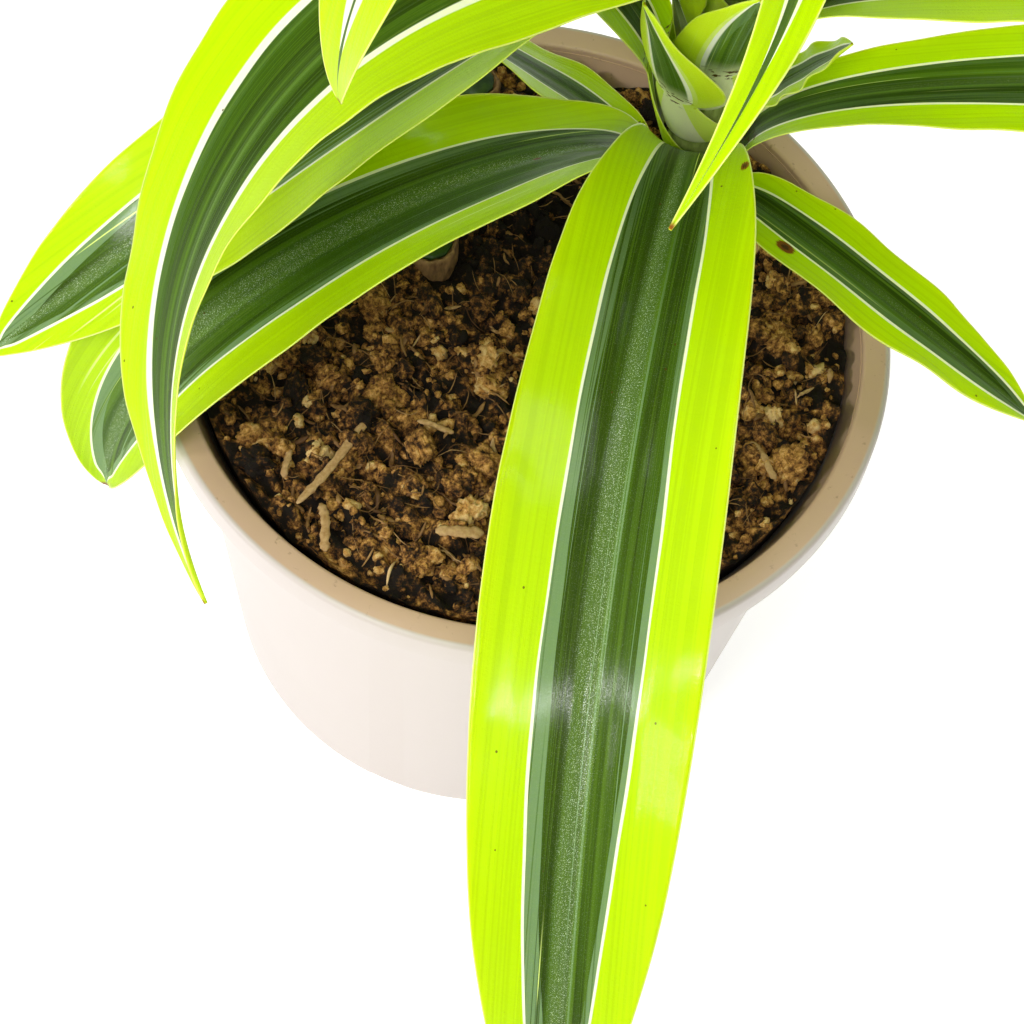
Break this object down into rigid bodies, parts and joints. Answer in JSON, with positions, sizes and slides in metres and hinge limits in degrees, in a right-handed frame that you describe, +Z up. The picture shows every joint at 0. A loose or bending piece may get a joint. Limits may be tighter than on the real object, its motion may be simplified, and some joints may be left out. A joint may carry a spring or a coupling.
{
  "type": "potted dracaena plant",
  "caption": "Striped strap-leaf dracaena with a leafy cane and cut, waxed stumps in a round plastic nursery pot filled with soil.",
  "frame": {"origin": "centre of the pot's flat base", "axes": "+Z up along the pot's axis; -Y is the side the picture was taken from"},
  "size_m": [0.43, 0.4111, 0.4048],
  "materials": {
    "pot": "satin taupe-white nursery pot plastic",
    "soil": "crumbly coir and bark; wood stands in for soil",
    "bark": "dry tan cane bark",
    "wax": "dark green sealing wax",
    "stem": "green cane with ring scars",
    "leaf": "glossy leaf with lime margins, white lines and a dark green centre; leather stands in for leaf"
  },
  "bodies": {
    "root": {"pot": "pot", "soil": "soil", "cane": "stem", "stump_1": "bark", "wax_cap_1": "wax", "stump_2": "bark", "wax_cap_2": "wax", "leaf_low_back": "leaf", "leaf_low_right": "leaf", "leaf_left": "leaf", "leaf_right": "leaf", "leaf_front": "leaf", "leaf_back_right": "leaf", "leaf_back_left": "leaf", "leaf_inner_left": "leaf", "leaf_back": "leaf", "leaf_inner_front": "leaf", "leaf_upper_right": "leaf", "leaf_upper_back": "leaf", "leaf_upper_left": "leaf", "leaf_high_back": "leaf", "leaf_curled_left": "leaf", "leaf_near": "leaf", "leaf_high_right": "leaf", "leaf_high_left": "leaf", "leaf_inner_back": "leaf", "leaf_inner_right": "leaf", "leaf_near_left": "leaf", "crown_leaf_1": "leaf", "crown_leaf_2": "leaf", "crown_leaf_3": "leaf", "crown_leaf_4": "leaf", "crown_leaf_5": "leaf", "crown_leaf_6": "leaf"}
  },
  "joints": []
}
